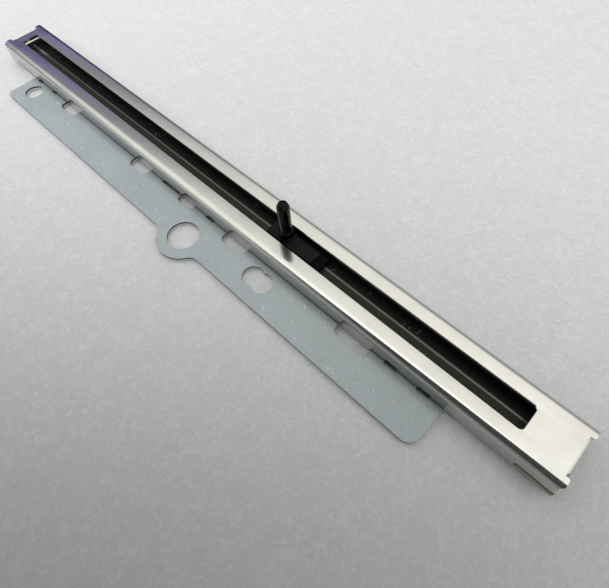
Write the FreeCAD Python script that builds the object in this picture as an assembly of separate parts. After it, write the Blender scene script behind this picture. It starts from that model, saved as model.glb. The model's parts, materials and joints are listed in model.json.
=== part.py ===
import FreeCAD, Part
import math
import os

# Slim slide potentiometer with a long slotted steel cover, a side bracket and a round lever pin.
# All sizes are in millimetres. The build frame has x along the travel with 0 at the slot's middle,
# y across it with the bracket on the negative side, and z 0 on the cover's top face.

# How far cutting shapes reach beyond the faces they pass through
cut_over = 1.0

# Cover: folded steel channel, open below
slot_end_room = 1.95
slot_width = 3.1
slot_corner = 0.35
cover_width = 8.4
cover_sheet = 0.5
cover_bend = 1.0
wall_depth = 3.05
far_margin = 2.4
near_margin = 5.9
flap_width = 4.3
flap_depth = 1.25
flap_bend = 0.8
relief_width = 0.45
relief_length = 0.45
far_ear_length = 0.35
near_ear_length = 0.1
ear_height = 0.5
ear_tip = 0.1
ear_round = 0.3
far_wall_over = 0.15
far_wall_drop = 0.9
near_wall_inset = 0.5
near_wall_slope = 0.4
tick_width = 0.45
tick_height = 0.5
lug_notch_height = 0.45

# Bracket: flat zinc-coated strip that closes the channel from below and reaches out to one side
bracket_sheet = 0.8
bracket_reach = 6.03
bracket_far_inset = 8.9
bracket_near_inset = 13.06
base_far_inset = 4.0
base_near_inset = 12.0
far_corner = 1.0
near_corner = 1.7
screw_hole_d = 3.2
screw_hole_inset = 3.6
screw_row_offset = 2.5
twin_hole_spacing = 60.2
twin_hole_step = 1.6
boss_hole_d = 4.8
boss_hole_spacing = 46.7
boss_hole_offset = 4.57
lobe_radius = 4.1
lobe_fillet = 2.0
window_starts = (10.85, 32.0, 44.0, 54.75)
last_window_inset = 15.95
window_lengths = (4.2, 4.2, 3.3, 4.5, 5.1)
window_reaches = (1.45, 1.45, 1.0, 1.45, 1.45)
window_corner = 0.9
tongue_inset = 0.9
tongue_root = 0.2
tongue_drop = 0.7
tongue_corner = 0.6
tab_starts = (1.15, 6.05, 39.6, 50.2)
near_tab_insets = (8.6, 3.75)
tab_lengths = (1.35, 1.35, 3.9, 1.65, 1.85, 1.75)
tab_clearance = 0.2
slit_show = 0.25

# Element board and the films printed on it
board_thickness = 1.1
board_far_over = 0.1
board_near_over = 0.1
board_head_length = 4.3
board_gap = 0.05
film = 0.04
collector_inner_y = 0.11
collector_width = 0.4
track_inner_y = 0.6
track_width = 1.75
track_over = 3.6
film_edge = 0.3
arm_width = 0.5
arm_gap = 0.55

# Terminals and their hollow rivets
lug_sheet = 0.4
lug_width = 1.3
lug_reach = 1.1
lug_corner = 0.3
lug_end_flat = 0.2
lug_eye_d = 0.6
rivet_shank_d = 0.8
rivet_bore_d = 0.5
rivet_head_d = 1.2
rivet_head = 0.15
start_rivet_inset = 1.0
start_rivet_y = -1.6
end_rivet_inset = 1.3
wiper_rivet_y = -0.6
wiper_lug_inset = 5.8

# Slider: moulded carriage, lever pin and wiper
travel = 100.0
lever_x = 16.55
lever_d = 1.7
lever_height = 6.05
lever_round = 0.3
shank_d = 1.2
shank_socket = 0.2
boss_d = 2.1
boss_top_gap = 0.05
carriage_far = 3.0
carriage_near = 6.7
block_near = 5.35
block_width = 2.1
block_height = 0.3
base_height = 0.6
rib_width = 0.6
side_clearance = 0.25
top_clearance = 0.25
board_clearance = 0.2
edge_round = 0.15

# Wiper spring under the carriage
pocket_depth = 0.35
pocket_margin = 0.2
spring_sheet = 0.15
plate_start = 1.6
plate_length = 3.4
finger_reach = 3.4
finger_root = 0.2
finger_foot = 0.6
finger_width = 0.4
finger_gap = 0.1
contact_radius = 0.1
contact_gap = 0.06
pin_d = 0.6
pin_head_d = 1.0
pin_head = 0.12
pin_depth = 0.35
pin_places = (2.4, 4.2)

# Side spring that takes up the play against the wall
leaf_sheet = 0.12
leaf_height = 0.3
leaf_length = 7.6
leaf_wall_gap = 0.1
leaf_pocket = 0.35
leaf_pocket_margin = 0.1

# End cushions
stop_gap = 0.3
cushion_end_gap = 0.05
cushion_inner_y = 2.0
cushion_low_gap = 0.25
cushion_height = 0.7
cushion_round = 0.2

# Positions that follow from the sizes
half_cover = cover_width / 2
half_inside = half_cover - cover_sheet
slot_length = travel + boss_d + 2 * slot_end_room
far_flap_x = -slot_length / 2 - far_margin
near_flap_x = slot_length / 2 + near_margin
far_ear_x = far_flap_x - far_ear_length
near_ear_x = near_flap_x + near_ear_length
far_wall_x = far_flap_x - far_wall_over
near_wall_x = near_flap_x - near_wall_inset
near_foot_x = near_wall_x + near_wall_slope * (wall_depth - ear_height)
bracket_top = -wall_depth
bracket_low = bracket_top - bracket_sheet
bracket_far_x = far_flap_x + bracket_far_inset
bracket_near_x = near_flap_x - bracket_near_inset
base_far_x = far_flap_x + base_far_inset
base_near_x = near_flap_x - base_near_inset
bracket_outer_y = -half_cover - bracket_reach
window_places = [bracket_far_x + start for start in window_starts]
window_places.append(bracket_near_x - last_window_inset)
tab_places = [bracket_far_x + start for start in tab_starts]
tab_places += [bracket_near_x - inset for inset in near_tab_insets]
screw_hole_x = bracket_far_x + screw_hole_inset
twin_hole_x = screw_hole_x + twin_hole_spacing
boss_hole_x = screw_hole_x + boss_hole_spacing
screw_row_y = -half_cover - screw_row_offset
boss_hole_y = -half_cover - boss_hole_offset
board_low = bracket_top
board_top = board_low + board_thickness
film_top = board_top + film
board_far_x = far_flap_x - board_far_over
board_near_x = near_flap_x + board_near_over
head_start_x = board_near_x - board_head_length
lug_low = board_low - lug_sheet
lug_tip_y = half_cover + lug_reach
start_rivet_x = board_far_x + start_rivet_inset
end_rivet_x = board_near_x - end_rivet_inset
wiper_lug_x = board_near_x - wiper_lug_inset
track_half_length = travel / 2 + track_over
track_mid_y = track_inner_y + track_width / 2
collector_mid_y = collector_inner_y + collector_width / 2
half_carriage = half_inside - side_clearance
carriage_low = board_top + board_clearance
base_top = carriage_low + base_height
block_top = base_top + block_height
boss_top = -boss_top_gap
shank_low = block_top - shank_socket
pocket_top = carriage_low + pocket_depth
rib_top = -cover_sheet - top_clearance

# The finished part is moved so that its origin is the bottom centre of its bounding box
far_end_x = min(far_ear_x, far_wall_x, board_far_x)
near_end_x = max(near_ear_x, board_near_x)
origin_x = (far_end_x + near_end_x) / 2
origin_y = (boss_hole_y - lobe_radius + lug_tip_y) / 2
to_origin = FreeCAD.Vector(-origin_x, -origin_y, -bracket_low)


def vec(x, y, z):
    return FreeCAD.Vector(x, y, z)


def box(x_span, y_span, z_span):
    """A block between two x, two y and two z values."""
    size = [abs(span[1] - span[0]) for span in (x_span, y_span, z_span)]
    corner = vec(min(x_span), min(y_span), min(z_span))
    return Part.makeBox(size[0], size[1], size[2], corner)


def upright(radius, x, y, z_low, z_high):
    """A round bar standing along z."""
    return Part.makeCylinder(radius, z_high - z_low, vec(x, y, z_low))


def rounded_face(corners, radii):
    """A flat face with straight sides and a rounded corner wherever a radius is given."""
    count = len(corners)
    stops = []
    for index in range(count):
        corner = corners[index]
        back = corners[index - 1] - corner
        ahead = corners[(index + 1) % count] - corner
        back.normalize()
        ahead.normalize()
        radius = radii[index]
        if radius <= 0:
            stops.append((corner, None, corner))
            continue
        half_angle = back.getAngle(ahead) / 2
        reach = radius / math.tan(half_angle)
        inward = back + ahead
        inward.normalize()
        middle = corner + inward * (radius / math.sin(half_angle) - radius)
        stops.append((corner + back * reach, middle, corner + ahead * reach))
    edges = []
    for index in range(count):
        start, middle, end = stops[index]
        following = stops[(index + 1) % count][0]
        if middle is not None:
            edges.append(Part.Arc(start, middle, end).toShape())
        if end.distanceToPoint(following) > 1e-6:
            edges.append(Part.makeLine(end, following))
    return Part.Face(Part.Wire(edges))


def plan_plate(points, radii, z_low, z_high):
    """A plate drawn in plan and thickened along z."""
    face = rounded_face([vec(x, y, z_low) for x, y in points], radii)
    return face.extrude(vec(0, 0, z_high - z_low))


def side_plate(points, radii, y_low, y_high):
    """A plate drawn from the side, in x and z, and thickened along y."""
    face = rounded_face([vec(x, y_low, z) for x, z in points], radii)
    return face.extrude(vec(0, y_high - y_low, 0))


def long_profile(points, radii, x_low, x_high):
    """A bar with a section drawn in y and z, drawn out along x."""
    face = rounded_face([vec(x_low, y, z) for y, z in points], radii)
    return face.extrude(vec(x_high - x_low, 0, 0))


def upright_edges_at(shape, x, y, reach):
    """The edges along z that pass close to a point in plan."""
    found = []
    for edge in shape.Edges:
        ends = [vertex.Point for vertex in edge.Vertexes]
        if len(ends) != 2 or abs(ends[0].z - ends[1].z) < 1e-6:
            continue
        if all(math.hypot(end.x - x, end.y - y) < reach for end in ends):
            found.append(edge)
    return found


def tab_block(index, y_span, shrink):
    """A block through the bracket at one tab's slot, drawn in at both ends by a clearance."""
    start = tab_places[index] + shrink
    end = tab_places[index] + tab_lengths[index] - shrink
    return box((start, end), y_span, (bracket_low, bracket_top))


def window_span(index):
    """Length span of one bracket window."""
    start = window_places[index]
    return (start, start + window_lengths[index])


def end_flap(flap_x, inward):
    """The short flap that turns down over one end of the channel; inward is the way to the middle."""
    root_x = flap_x + inward * (flap_bend + cover_sheet)
    points = [
        (root_x, 0),
        (flap_x, 0),
        (flap_x, -flap_depth),
        (flap_x + inward * cover_sheet, -flap_depth),
        (flap_x + inward * cover_sheet, -cover_sheet),
        (root_x, -cover_sheet),
    ]
    radii = [0, flap_bend, 0, 0, flap_bend - cover_sheet, 0]
    return side_plate(points, radii, -flap_width / 2, flap_width / 2)


def make_top_cover():
    points = [
        (-half_cover, -wall_depth),
        (-half_cover, 0),
        (half_cover, 0),
        (half_cover, -wall_depth),
        (half_inside, -wall_depth),
        (half_inside, -cover_sheet),
        (-half_inside, -cover_sheet),
        (-half_inside, -wall_depth),
    ]
    inner_bend = cover_bend - cover_sheet
    radii = [0, cover_bend, cover_bend, 0, 0, inner_bend, inner_bend, 0]
    cover = long_profile(points, radii, min(far_wall_x, far_ear_x), max(near_ear_x, near_foot_x))

    # Ends seen from the side: an ear of the top sheet, with the wall's end set back below it
    ends = [
        (far_wall_x, -wall_depth),
        (far_wall_x, -ear_height - far_wall_drop),
        (far_ear_x, -ear_height),
        (far_ear_x, 0),
        (near_ear_x, 0),
        (near_ear_x, -ear_tip),
        (near_wall_x, -ear_height),
        (near_foot_x, -wall_depth),
    ]
    end_radii = [0, ear_round, ear_round, 0, 0, 0, 0, 0]
    side_shape = side_plate(ends, end_radii, -half_cover - cut_over, half_cover + cut_over)
    cover = cover.common(side_shape)

    # End flaps between two short relief cuts, with an ear left standing on each side
    through_top = (-cover_sheet - cut_over, cut_over)
    flap_half = flap_width / 2
    gap_half = flap_half + relief_width
    for flap_x, ear_x, inward in ((far_flap_x, far_ear_x, 1), (near_flap_x, near_ear_x, -1)):
        beyond_x = ear_x - inward * cut_over
        relief_x = (beyond_x, flap_x + inward * relief_length)
        cover = cover.cut(box(relief_x, (-gap_half, gap_half), through_top))
        bend_x = (beyond_x, flap_x + inward * flap_bend)
        cover = cover.cut(box(bend_x, (-flap_half, flap_half), through_top))
        cover = cover.fuse(end_flap(flap_x, inward))

    # The long slot for the lever
    slot_half = slot_length / 2
    slot_y = slot_width / 2
    slot_points = [(-slot_half, -slot_y), (slot_half, -slot_y), (slot_half, slot_y), (-slot_half, slot_y)]
    cover = cover.cut(plan_plate(slot_points, [slot_corner] * 4, through_top[0], through_top[1]))

    # Tabs of both walls that lock the bracket
    for index in range(len(tab_places)):
        for side in (-1, 1):
            y_span = (side * half_cover, side * half_inside)
            cover = cover.fuse(tab_block(index, y_span, tab_clearance))

    # Both walls stop above the board's wide head, and one of them above the lugs that leave there
    wall_low = -wall_depth - cut_over
    head_x = (head_start_x - tab_clearance, near_ear_x + cut_over)
    through_wall = (half_inside - board_gap, half_cover + cut_over)
    for side in (-1, 1):
        y_span = (side * through_wall[0], side * through_wall[1])
        cover = cover.cut(box(head_x, y_span, (wall_low, board_top + board_gap)))
    for lug_x in (start_rivet_x, wiper_lug_x):
        x_span = (lug_x - lug_width, lug_x + lug_width)
        cover = cover.cut(box(x_span, through_wall, (wall_low, -wall_depth + lug_notch_height)))

    # Small ticks in the wall's lower edge at the start of each bracket window
    for index in range(len(window_places)):
        start, end = window_span(index)
        x_span = (start - tick_width, start)
        y_span = (-through_wall[1], -through_wall[0])
        cover = cover.cut(box(x_span, y_span, (wall_low, -wall_depth + tick_height)))

    # A tongue of the wall hangs into the widest window
    start, end = window_span(len(window_places) - 1)
    tongue = [
        (start + tongue_inset, -wall_depth + tongue_root),
        (end - tab_clearance, -wall_depth + tongue_root),
        (end - tab_clearance, -wall_depth - tongue_drop),
        (start + tongue_inset, -wall_depth - tongue_drop),
    ]
    tongue_radii = [0, 0, tongue_corner / 2, tongue_corner]
    cover = cover.fuse(side_plate(tongue, tongue_radii, -half_cover, -half_inside))
    return cover.removeSplitter()


def make_mounting_bracket():
    plate = [
        (bracket_far_x, bracket_outer_y),
        (bracket_near_x, bracket_outer_y),
        (bracket_near_x, -half_cover),
        (base_near_x, -half_cover),
        (base_near_x, half_cover),
        (base_far_x, half_cover),
        (base_far_x, -half_cover),
        (bracket_far_x, -half_cover),
    ]
    radii = [far_corner, near_corner, 0, 0, 0, 0, 0, 0]
    bracket = plan_plate(plate, radii, bracket_low, bracket_top)

    # Round lobe about the boss hole, run into the straight edge with fillets
    lobe = upright(lobe_radius, boss_hole_x, boss_hole_y, bracket_low, bracket_top)
    bracket = bracket.fuse(lobe).removeSplitter()
    drop = boss_hole_y - bracket_outer_y
    half_chord = math.sqrt(lobe_radius ** 2 - drop ** 2)
    for side in (-1, 1):
        corner_x = boss_hole_x + side * half_chord
        edges = upright_edges_at(bracket, corner_x, bracket_outer_y, 0.05)
        bracket = bracket.makeFillet(lobe_fillet, edges)

    # Screw hole, twin screw hole made by two punches, and boss hole
    low = bracket_low - cut_over
    high = bracket_top + cut_over
    holes = [(screw_hole_d, screw_hole_x, screw_row_y), (boss_hole_d, boss_hole_x, boss_hole_y)]
    for side in (-1, 1):
        holes.append((screw_hole_d, twin_hole_x + side * twin_hole_step / 2, screw_row_y))
    for diameter, x, y in holes:
        bracket = bracket.cut(upright(diameter / 2, x, y, low, high))

    # Windows along the foot of the wall
    inner_y = -half_inside + tab_clearance / 2
    for index in range(len(window_places)):
        start, end = window_span(index)
        outer_y = -half_cover - window_reaches[index]
        window = [(start, inner_y), (end, inner_y), (end, outer_y), (start, outer_y)]
        window_radii = [0, 0, window_corner, window_corner]
        bracket = bracket.cut(plan_plate(window, window_radii, low, high))

    # Slots for the cover's tabs: they show as slits beside the near wall and open notches on the other
    for index in range(len(tab_places)):
        slot_y = half_inside - tab_clearance / 2
        bracket = bracket.cut(tab_block(index, (-half_cover - slit_show, -slot_y), 0))
        bracket = bracket.cut(tab_block(index, (slot_y, half_cover + cut_over), 0))
    return bracket.removeSplitter()


def rivet_places():
    """The plan positions of the rivets: start of the track, end of the track, collector."""
    start = (start_rivet_x, start_rivet_y)
    end = (end_rivet_x, track_mid_y)
    wiper = (end_rivet_x, wiper_rivet_y)
    return (start, end, wiper)


def make_element_board():
    narrow = half_inside - board_gap
    points = [
        (board_far_x, -narrow),
        (head_start_x, -narrow),
        (head_start_x, -half_cover),
        (board_near_x, -half_cover),
        (board_near_x, half_cover),
        (head_start_x, half_cover),
        (head_start_x, narrow),
        (board_far_x, narrow),
    ]
    board = plan_plate(points, [0] * 8, board_low, board_top)
    for x, y in rivet_places():
        board = board.cut(upright(rivet_shank_d / 2, x, y, board_low - cut_over, board_top + cut_over))
    return board


def film_patch(x_span, y_span):
    """A printed film on the board, with holes where the rivets pass."""
    patch = box(x_span, y_span, (board_top, film_top))
    for x, y in rivet_places():
        patch = patch.cut(upright(rivet_shank_d / 2, x, y, board_low, film_top + cut_over))
    return patch


def make_resistive_track():
    """The long carbon strip with an arm that runs across the board's far end to the start rivet's pad."""
    strip = film_patch((film_far_x, track_half_length), track_y)
    arm = film_patch((film_far_x, film_far_x + arm_width), (start_rivet_y + pad_half, track_inner_y))
    return strip.fuse(arm).removeSplitter()


def lug_outline(path_points, radii, rivet, eye):
    """A flat solder lug under the board with a rivet hole and a wire eye."""
    lug = plan_plate(path_points, radii, lug_low, board_low)
    low = lug_low - cut_over
    high = board_low + cut_over
    lug = lug.cut(upright(rivet_shank_d / 2, rivet[0], rivet[1], low, high))
    return lug.cut(upright(lug_eye_d / 2, eye[0], eye[1], low, high))


def straight_lug(rivet):
    x, y = rivet
    half = lug_width / 2
    points = [(x - half, y - half), (x + half, y - half), (x + half, lug_tip_y), (x - half, lug_tip_y)]
    round_end = half - lug_end_flat / 2
    eye = (x, lug_tip_y - half)
    return lug_outline(points, [lug_corner, lug_corner, round_end, round_end], rivet, eye)


def elbow_lug(rivet):
    """The collector's lug: it runs back under the board and then turns out beside the other one."""
    x, y = rivet
    half = lug_width / 2
    points = [
        (wiper_lug_x - half, y - half),
        (x + half, y - half),
        (x + half, y + half),
        (wiper_lug_x + half, y + half),
        (wiper_lug_x + half, lug_tip_y),
        (wiper_lug_x - half, lug_tip_y),
    ]
    round_end = half - lug_end_flat / 2
    eye = (wiper_lug_x, lug_tip_y - half)
    return lug_outline(points, [lug_corner] * 4 + [round_end] * 2, rivet, eye)


def hollow_rivet(place):
    """A tube through board and lug with a flange at each end."""
    x, y = place
    low = lug_low - rivet_head
    high = film_top + rivet_head
    rivet = upright(rivet_shank_d / 2, x, y, low, high)
    rivet = rivet.fuse(upright(rivet_head_d / 2, x, y, low, lug_low))
    rivet = rivet.fuse(upright(rivet_head_d / 2, x, y, film_top, high))
    rivet = rivet.cut(upright(rivet_bore_d / 2, x, y, low - cut_over, high + cut_over))
    return rivet.removeSplitter()


def cushion_pair(face_x, flap_x, outward):
    """Two soft blocks on the walls between the carriage's stop and one end flap."""
    back_x = flap_x - outward * (cover_sheet + cushion_end_gap)
    x_span = (face_x, back_x)
    z_span = (board_top + cushion_low_gap, board_top + cushion_low_gap + cushion_height)
    blocks = []
    for side in (-1, 1):
        block = box(x_span, (side * cushion_inner_y, side * half_inside), z_span)
        edges = upright_edges_at(block, face_x, side * cushion_inner_y, 0.01)
        blocks.append(block.makeFillet(cushion_round, edges))
    return Part.makeCompound(blocks)


def make_carriage():
    x_far = lever_x - carriage_far
    x_near = lever_x + carriage_near
    body = box((x_far, x_near), (-half_carriage, half_carriage), (carriage_low, base_top))
    block_x = (x_far, lever_x + block_near)
    body = body.fuse(box(block_x, (-block_width / 2, block_width / 2), (base_top, block_top)))
    for side in (-1, 1):
        rib_y = (side * (half_carriage - rib_width), side * half_carriage)
        body = body.fuse(box((x_far, x_near), rib_y, (base_top, rib_top)))
    body = body.removeSplitter()

    # Softened end corners of the moulding
    corner_edges = []
    for x in (x_far, x_near):
        for side in (-1, 1):
            corner_edges += upright_edges_at(body, x, side * half_carriage, 0.01)
    body = body.makeFillet(edge_round, corner_edges)

    # Round boss that stands in the slot and takes the lever pin's shank
    boss = upright(boss_d / 2, lever_x, 0, base_top, boss_top)
    body = body.fuse(boss).removeSplitter()
    body = body.cut(upright(shank_d / 2, lever_x, 0, shank_low, cut_over))

    # Pocket below for the wiper spring
    body = body.cut(box(pocket_x(), pocket_y(), (carriage_low - cut_over, pocket_top)))
    for place in pin_places:
        pin_x = lever_x + place
        body = body.cut(upright(pin_d / 2, pin_x, collector_mid_y, pocket_top, pocket_top + pin_depth))

    # Pocket in the side towards the bracket for the leaf spring
    leaf_mid = (carriage_low + base_top) / 2
    leaf_half = leaf_height / 2 + leaf_pocket_margin / 2
    leaf_reach = leaf_length / 2 + leaf_pocket_margin
    leaf_x = (leaf_centre() - leaf_reach, leaf_centre() + leaf_reach)
    leaf_y = (-half_carriage - cut_over, -half_carriage + leaf_pocket)
    body = body.cut(box(leaf_x, leaf_y, (leaf_mid - leaf_half, leaf_mid + leaf_half)))
    return body.removeSplitter()


def pocket_x():
    """Length span of the wiper pocket."""
    low = lever_x + plate_start - finger_reach - pocket_margin
    high = lever_x + plate_start + plate_length + pocket_margin
    return (low, high)


def finger_places():
    """Across positions of the three wiper fingers: one on the collector, two on the track."""
    step = (finger_width + finger_gap) / 2
    return (collector_mid_y, track_mid_y - step, track_mid_y + step)


def plate_y():
    """Across span of the wiper plate."""
    places = finger_places()
    return (places[0] - finger_width / 2, places[-1] + finger_width / 2)


def pocket_y():
    """Across span of the wiper pocket."""
    low, high = plate_y()
    return (low - pocket_margin, high + pocket_margin)


def leaf_centre():
    """Length position of the middle of the leaf spring."""
    return lever_x + (carriage_near - carriage_far) / 2


def finger_foot_low():
    """Height of the underside of a finger's level foot."""
    return film_top + contact_gap + contact_radius


def make_wiper_spring():
    plate_x = lever_x + plate_start
    plate_low = pocket_top - spring_sheet
    spring = box((plate_x, plate_x + plate_length), plate_y(), (plate_low, pocket_top))
    foot_low = finger_foot_low()
    foot_x = plate_x - finger_reach
    heel_x = foot_x + finger_foot
    points = [
        (plate_x + finger_root, pocket_top),
        (plate_x, pocket_top),
        (heel_x, foot_low + spring_sheet),
        (foot_x, foot_low + spring_sheet),
        (foot_x, foot_low),
        (heel_x, foot_low),
        (plate_x, plate_low),
        (plate_x + finger_root, plate_low),
    ]
    for y in finger_places():
        spring = spring.fuse(side_plate(points, [0] * 8, y - finger_width / 2, y + finger_width / 2))
    for place in pin_places:
        pin_x = lever_x + place
        low = plate_low - cut_over
        spring = spring.cut(upright(pin_d / 2, pin_x, collector_mid_y, low, pocket_top + cut_over))
    return spring.removeSplitter()


def make_wiper_contacts():
    """Half-round contact wires under the finger feet."""
    x = lever_x + plate_start - finger_reach + finger_foot / 2
    z = finger_foot_low()
    wires = []
    for y in finger_places():
        start = vec(x, y - finger_width / 2, z)
        wire = Part.makeCylinder(contact_radius, finger_width, start, vec(0, 1, 0))
        keep = box((x - cut_over, x + cut_over), (y - cut_over, y + cut_over), (z - cut_over, z))
        wires.append(wire.common(keep))
    return Part.makeCompound(wires)


def make_wiper_pins():
    """Headed pins that hold the wiper plate in the pocket."""
    plate_low = pocket_top - spring_sheet
    pins = []
    for place in pin_places:
        x = lever_x + place
        pin = upright(pin_d / 2, x, collector_mid_y, plate_low, pocket_top + pin_depth)
        pin = pin.fuse(upright(pin_head_d / 2, x, collector_mid_y, plate_low - pin_head, plate_low))
        pins.append(pin.removeSplitter())
    return Part.makeCompound(pins)


def make_side_spring():
    """A thin bowed leaf that leans out of the carriage towards the wall."""
    seat_y = -half_carriage + leaf_pocket
    crown_y = -half_inside + leaf_wall_gap
    centre = leaf_centre()
    half = leaf_length / 2
    z = (carriage_low + base_top - leaf_height) / 2
    outer_y = seat_y - leaf_sheet
    seat = [vec(centre - half, seat_y, z), vec(centre + half, seat_y, z)]
    back = [vec(centre - half, outer_y, z), vec(centre + half, outer_y, z)]
    sides = [
        Part.Arc(seat[0], vec(centre, crown_y + leaf_sheet, z), seat[1]).toShape(),
        Part.makeLine(seat[1], back[1]),
        Part.Arc(back[1], vec(centre, crown_y, z), back[0]).toShape(),
        Part.makeLine(back[0], seat[0]),
    ]
    return Part.Face(Part.Wire(sides)).extrude(vec(0, 0, leaf_height))


def make_lever_pin():
    """A turned pin: a thin shank in the boss, a shoulder on it and a rounded tip."""
    outline = [
        (0, shank_low),
        (shank_d / 2, shank_low),
        (shank_d / 2, boss_top),
        (lever_d / 2, boss_top),
        (lever_d / 2, lever_height),
        (0, lever_height),
    ]
    points = [vec(lever_x + radius, 0, z) for radius, z in outline]
    section = rounded_face(points, [0, 0, 0, 0, lever_round, 0])
    return section.revolve(vec(lever_x, 0, 0), vec(0, 0, 1), 360)


start_rivet, end_rivet, wiper_rivet = rivet_places()
track_y = (track_inner_y, track_inner_y + track_width)
collector_y = (collector_inner_y, collector_inner_y + collector_width)
film_far_x = board_far_x + film_edge
film_near_x = board_near_x - film_edge
collector_far_x = film_far_x + arm_width + arm_gap
pad_half = rivet_head_d / 2
start_pad_y = (start_rivet_y - pad_half, start_rivet_y + pad_half)
pad_y = (wiper_rivet_y - pad_half, collector_inner_y)
far_stop_x = -travel / 2 - carriage_far - stop_gap
near_stop_x = travel / 2 + carriage_near + stop_gap

nodes = {
    "top_cover": make_top_cover(),
    "mounting_bracket": make_mounting_bracket(),
    "element_board": make_element_board(),
    "resistive_track": make_resistive_track(),
    "far_electrode": film_patch((film_far_x, start_rivet_x + pad_half), start_pad_y),
    "near_electrode": film_patch((track_half_length, film_near_x), track_y),
    "collector_track": film_patch((collector_far_x, film_near_x), collector_y),
    "collector_pad": film_patch((end_rivet_x - pad_half, film_near_x), pad_y),
    "start_terminal": straight_lug(start_rivet),
    "end_terminal": straight_lug(end_rivet),
    "wiper_terminal": elbow_lug(wiper_rivet),
    "terminal_rivets": Part.makeCompound([hollow_rivet(place) for place in rivet_places()]),
    "far_cushions": cushion_pair(far_stop_x, far_flap_x, -1),
    "near_cushions": cushion_pair(near_stop_x, near_flap_x, 1),
    "carriage": make_carriage(),
    "lever_pin": make_lever_pin(),
    "wiper_spring": make_wiper_spring(),
    "wiper_contacts": make_wiper_contacts(),
    "wiper_pins": make_wiper_pins(),
    "side_spring": make_side_spring(),
}

os.makedirs("parts", exist_ok=True)
for name, shape in nodes.items():
    shape.translate(to_origin)
    shape.exportStep("parts/" + name + ".step")
    bounds = shape.BoundBox
    size = [round(value, 2) for value in (bounds.XLength, bounds.YLength, bounds.ZLength)]
    print(name, len(shape.Solids), "solids", shape.isValid(), round(shape.Volume, 3), "mm3", size)
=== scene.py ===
# %% [markdown]
# # Dressing a slide potentiometer
# The real object is a slim fader: a folded steel channel with a long slot, a black lever that rides in it, a
# resistive board below, and a flat zinc-coated bracket on one side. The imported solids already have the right
# sizes, so this lesson loads them as a fixed frame and then gives each piece its edges and finish.

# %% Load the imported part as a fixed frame
import json
import math

import bpy
from mathutils import Matrix, Vector

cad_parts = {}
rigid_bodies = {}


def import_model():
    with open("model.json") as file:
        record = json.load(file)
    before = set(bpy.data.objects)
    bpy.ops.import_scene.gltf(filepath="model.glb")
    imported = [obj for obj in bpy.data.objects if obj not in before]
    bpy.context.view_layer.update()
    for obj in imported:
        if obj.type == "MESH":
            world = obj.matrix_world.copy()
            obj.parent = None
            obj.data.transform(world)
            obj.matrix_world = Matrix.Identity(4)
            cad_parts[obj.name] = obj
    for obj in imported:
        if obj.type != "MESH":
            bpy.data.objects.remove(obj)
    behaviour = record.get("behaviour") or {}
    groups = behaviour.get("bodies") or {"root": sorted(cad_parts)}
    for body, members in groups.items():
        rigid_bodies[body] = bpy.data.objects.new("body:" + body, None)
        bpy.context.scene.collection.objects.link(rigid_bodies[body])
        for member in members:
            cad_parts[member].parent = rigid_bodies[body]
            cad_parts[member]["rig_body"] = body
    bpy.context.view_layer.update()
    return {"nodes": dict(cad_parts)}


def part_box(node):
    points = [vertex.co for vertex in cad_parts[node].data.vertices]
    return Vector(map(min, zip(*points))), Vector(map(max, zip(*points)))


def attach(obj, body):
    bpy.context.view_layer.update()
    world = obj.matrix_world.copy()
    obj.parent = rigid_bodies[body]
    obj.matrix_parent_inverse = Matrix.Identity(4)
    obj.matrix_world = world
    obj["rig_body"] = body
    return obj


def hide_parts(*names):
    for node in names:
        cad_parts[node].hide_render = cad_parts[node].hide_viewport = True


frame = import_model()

nodes = frame["nodes"]
print("nodes:", sorted(nodes))

# %% [markdown]
# ## Camera
# The photograph was taken close to the near end, looking down steeply, so the far end shrinks quickly. The
# place, the three angles and the lens come from matching the slot, the bracket and the lever to their places
# in the picture. A camera looks along its own -Z, so a tracking rotation aims it first and a small roll about
# that axis tilts it.

# %% Camera at the photograph's viewpoint
CAMERA_PLACE = (0.043725, -0.019785, 0.05268)
CAMERA_AZIMUTH = math.radians(48.0)
CAMERA_ELEVATION = math.radians(60.58)
CAMERA_ROLL = math.radians(-4.92)
CAMERA_LENS = 26.56

camera_data = bpy.data.cameras.new("camera")
camera = bpy.data.objects.new("camera", camera_data)
bpy.context.scene.collection.objects.link(camera)
flat_reach = math.cos(CAMERA_ELEVATION)
look = Vector((-math.sin(CAMERA_AZIMUTH) * flat_reach, math.cos(CAMERA_AZIMUTH) * flat_reach,
               -math.sin(CAMERA_ELEVATION)))
camera.rotation_mode = "QUATERNION"
roll = Matrix.Rotation(CAMERA_ROLL, 3, "Z").to_quaternion()
camera.rotation_quaternion = look.to_track_quat("-Z", "Y") @ roll
camera.location = CAMERA_PLACE
camera_data.lens = CAMERA_LENS
camera_data.sensor_width = 36
camera_data.clip_start = 0.001
camera_data.clip_end = 20
bpy.context.scene.camera = camera
print("camera at", [round(1000 * c, 1) for c in camera.location], "mm")

# %% [markdown]
# ## Working at a comfortable size
# Blender counts in metres, and its tools merge what is closer than a few thousandths of a millimetre. That is
# too coarse for a fold of half a millimetre. So each new piece is modelled a thousand times larger, with one
# Blender unit for one millimetre, and shrunk at the end. These helpers select, grow and shrink.

# %% Helpers for selecting and sizing
MM = 0.001


def deselect():
    """Nothing is selected, and nothing is in edit mode."""
    if bpy.context.object and bpy.context.object.mode != "OBJECT":
        bpy.ops.object.mode_set(mode="OBJECT")
    bpy.ops.object.select_all(action="DESELECT")


def make_active(piece):
    deselect()
    piece.select_set(True)
    bpy.context.view_layer.objects.active = piece


def resize(piece, factor):
    """Scales a piece about the part's origin and writes its place and scale into its mesh."""
    make_active(piece)
    piece.scale = (factor, factor, factor)
    piece.location = piece.location * factor
    bpy.ops.object.transform_apply(location=True, rotation=True, scale=True)


def report(piece):
    size = [round(1000 * side, 2) for side in piece.dimensions]
    print(piece.name, "has", len(piece.data.polygons), "faces and measures", size, "mm")


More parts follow.
